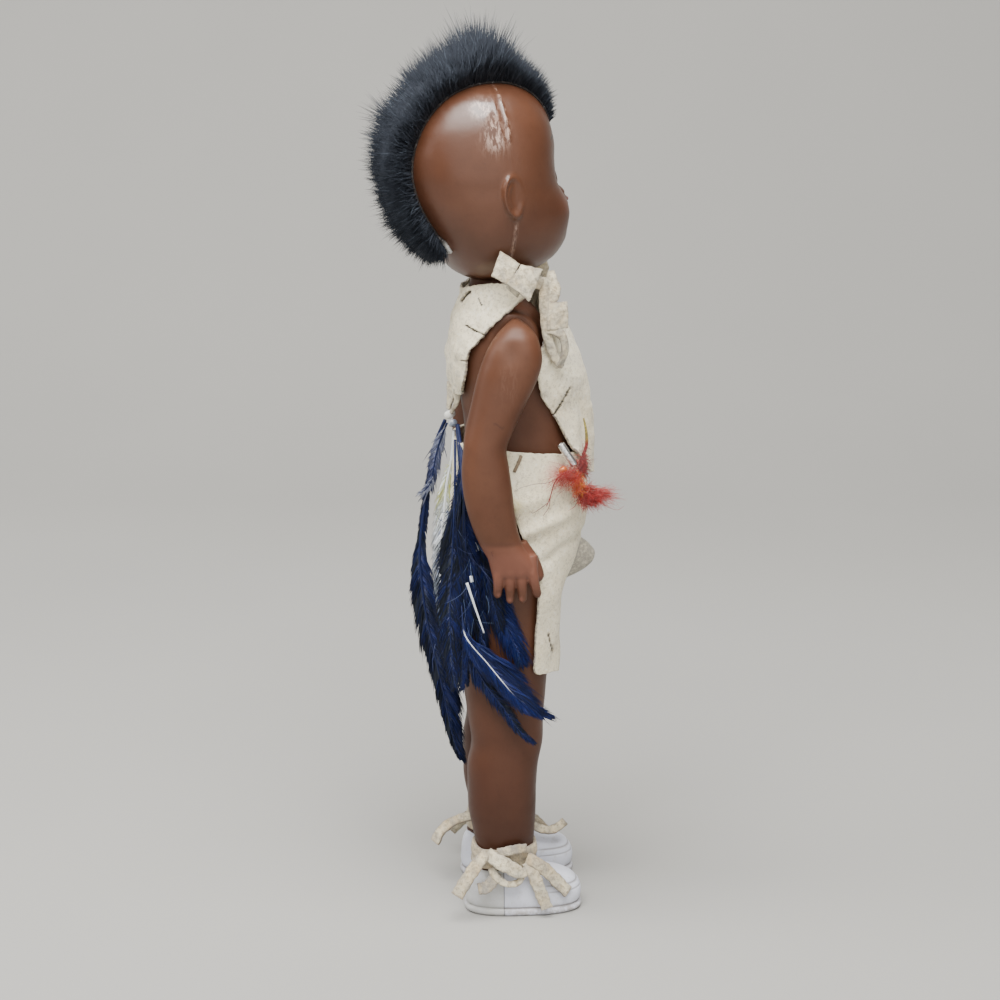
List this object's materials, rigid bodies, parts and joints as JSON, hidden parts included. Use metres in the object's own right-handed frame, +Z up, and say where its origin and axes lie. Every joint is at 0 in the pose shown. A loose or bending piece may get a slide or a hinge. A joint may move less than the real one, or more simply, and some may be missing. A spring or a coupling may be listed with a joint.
{
  "type": "costume doll",
  "caption": "Standing strung plastic child doll with moulded shoes, in suede vest and breechcloth, with a fur mohawk strip, dyed feathers, beads and ankle thongs.",
  "frame": {"origin": "middle of the bounding box's underside, on the surface that the shoes stand on", "axes": "+Z up; the body faces -Y and +X is the doll's left; the head is turned about 22 degrees to its left"},
  "size_m": [0.0796, 0.0848, 0.3248],
  "materials": {
    "brown_plastic": "satin moulded plastic with a glossy crown; the moulded shoes are painted white",
    "suede": "off-white suede, matt and mottled",
    "black_fur": "blue-black long pile on a cloth strip",
    "blue_feather": "dyed royal to navy blue, soft sheen",
    "red_fluff": "dyed down, red with an orange heart",
    "staple_steel": "tarnished wire",
    "white_bead": "glossy",
    "amber_bead": "glossy, slightly see-through",
    "dyed_quill": "smooth quill, satin"
  },
  "bodies": {
    "root": {"ankle_tie_left": "suede", "ankle_tie_right": "suede", "arm_left": "brown_plastic", "arm_right": "brown_plastic", "back_bead_lower": "white_bead", "back_bead_upper": "white_bead", "back_thong": "suede", "breechcloth_back": "suede", "breechcloth_front": "suede", "feather_back_curled": "blue_feather", "feather_back_long": "blue_feather", "feather_middle_inner": "blue_feather", "feather_middle_outer": "blue_feather", "feather_side_long": "blue_feather", "feather_side_short": "blue_feather", "front_lacing_left": "suede", "front_lacing_right": "suede", "head": "brown_plastic", "hip_staple_left": "staple_steel", "hip_staple_right": "staple_steel", "leg_left": "brown_plastic", "leg_right": "brown_plastic", "mohawk_fur": "black_fur", "shoulder_tie_left": "suede", "shoulder_tie_right": "suede", "torso": "brown_plastic", "vest_back": "suede", "vest_front": "suede", "waist_bead_orange": "amber_bead", "waist_bead_red": "amber_bead", "waist_fluff": "red_fluff", "waist_quill": "dyed_quill", "waist_tube": "staple_steel"}
  },
  "joints": []
}
